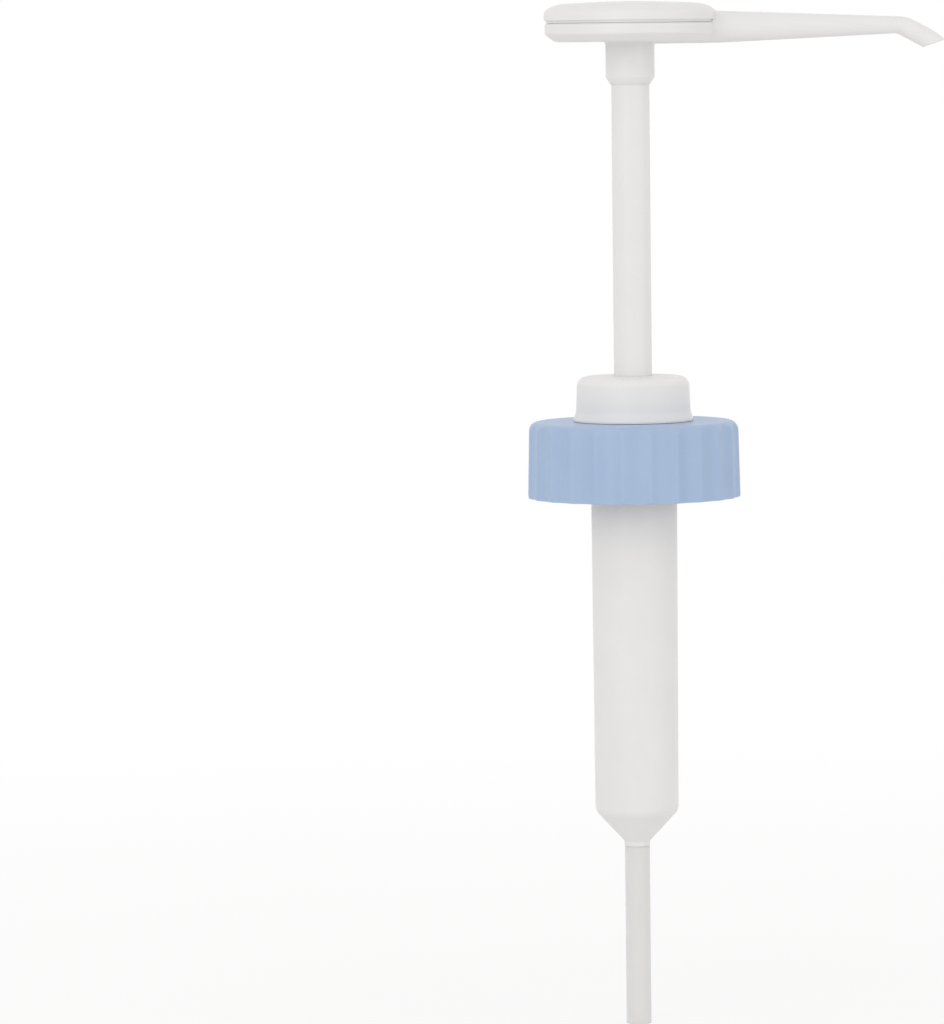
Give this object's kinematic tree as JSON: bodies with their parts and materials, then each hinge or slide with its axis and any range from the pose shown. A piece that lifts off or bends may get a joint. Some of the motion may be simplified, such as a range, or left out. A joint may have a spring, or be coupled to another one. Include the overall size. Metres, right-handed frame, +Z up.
{
  "type": "jerrycan dispensing pump",
  "caption": "Hand pump that screws onto a jerrycan's neck: round press head with a long bent spout on a sliding stem, fluted screw cap, sprung piston in a barrel, ball valves and a dip tube.",
  "frame": {"origin": "on the pump's axis, at the underside of the gasket, where it meets the rim of the can's neck", "axes": "+Z up along the stem, towards the press head; +X along the spout at rest; -Z down the dip tube"},
  "size_m": [0.1381, 0.0702, 0.3368],
  "materials": {
    "white_pp": "moulded white polypropylene, soft satin",
    "blue_pp": "moulded light blue polypropylene, satin",
    "natural_pe": "natural polyethylene, milky",
    "gasket_rubber": "soft grey rubber, matt",
    "black_rubber": "black rubber, matt",
    "steel": "stainless steel"
  },
  "bodies": {
    "pump_body": {"barrel": "white_pp", "collar": "white_pp", "stem_wiper": "natural_pe", "neck_gasket": "gasket_rubber", "valve_cage": "natural_pe", "return_spring": "steel", "dip_tube": "natural_pe"},
    "cap": {"screw_cap": "blue_pp"},
    "plunger": {"piston": "natural_pe", "upper_piston_ring": "black_rubber", "lower_piston_ring": "black_rubber"},
    "actuator": {"stem": "white_pp", "piston_nut": "white_pp", "head_base": "white_pp", "head_lid": "white_pp"},
    "lower_ball": {"suction_ball": "steel"},
    "upper_ball": {"discharge_ball": "steel"}
  },
  "joints": [
    {"name": "cap_turn", "type": "hinge", "parent": "pump_body", "child": "cap", "pos_m": [0, 0, 0], "axis": [0, 0, 1], "continuous": true},
    {"name": "plunger_stroke", "type": "slide", "parent": "pump_body", "child": "plunger", "axis": [0, 0, -1], "range_m": [0, 0.095], "stiffness_N_per_m": 150, "springref_m": -0.02, "deforming": ["return_spring"]},
    {"name": "head_swivel", "type": "hinge", "parent": "plunger", "child": "actuator", "pos_m": [0, 0, 0], "axis": [0, 0, 1], "continuous": true},
    {"name": "lower_ball_lift", "type": "slide", "parent": "pump_body", "child": "lower_ball", "axis": [0, 0, 1], "range_m": [0, 0.0023]},
    {"name": "upper_ball_lift", "type": "slide", "parent": "actuator", "child": "upper_ball", "axis": [0, 0, 1], "range_m": [0, 0.0024]}
  ]
}
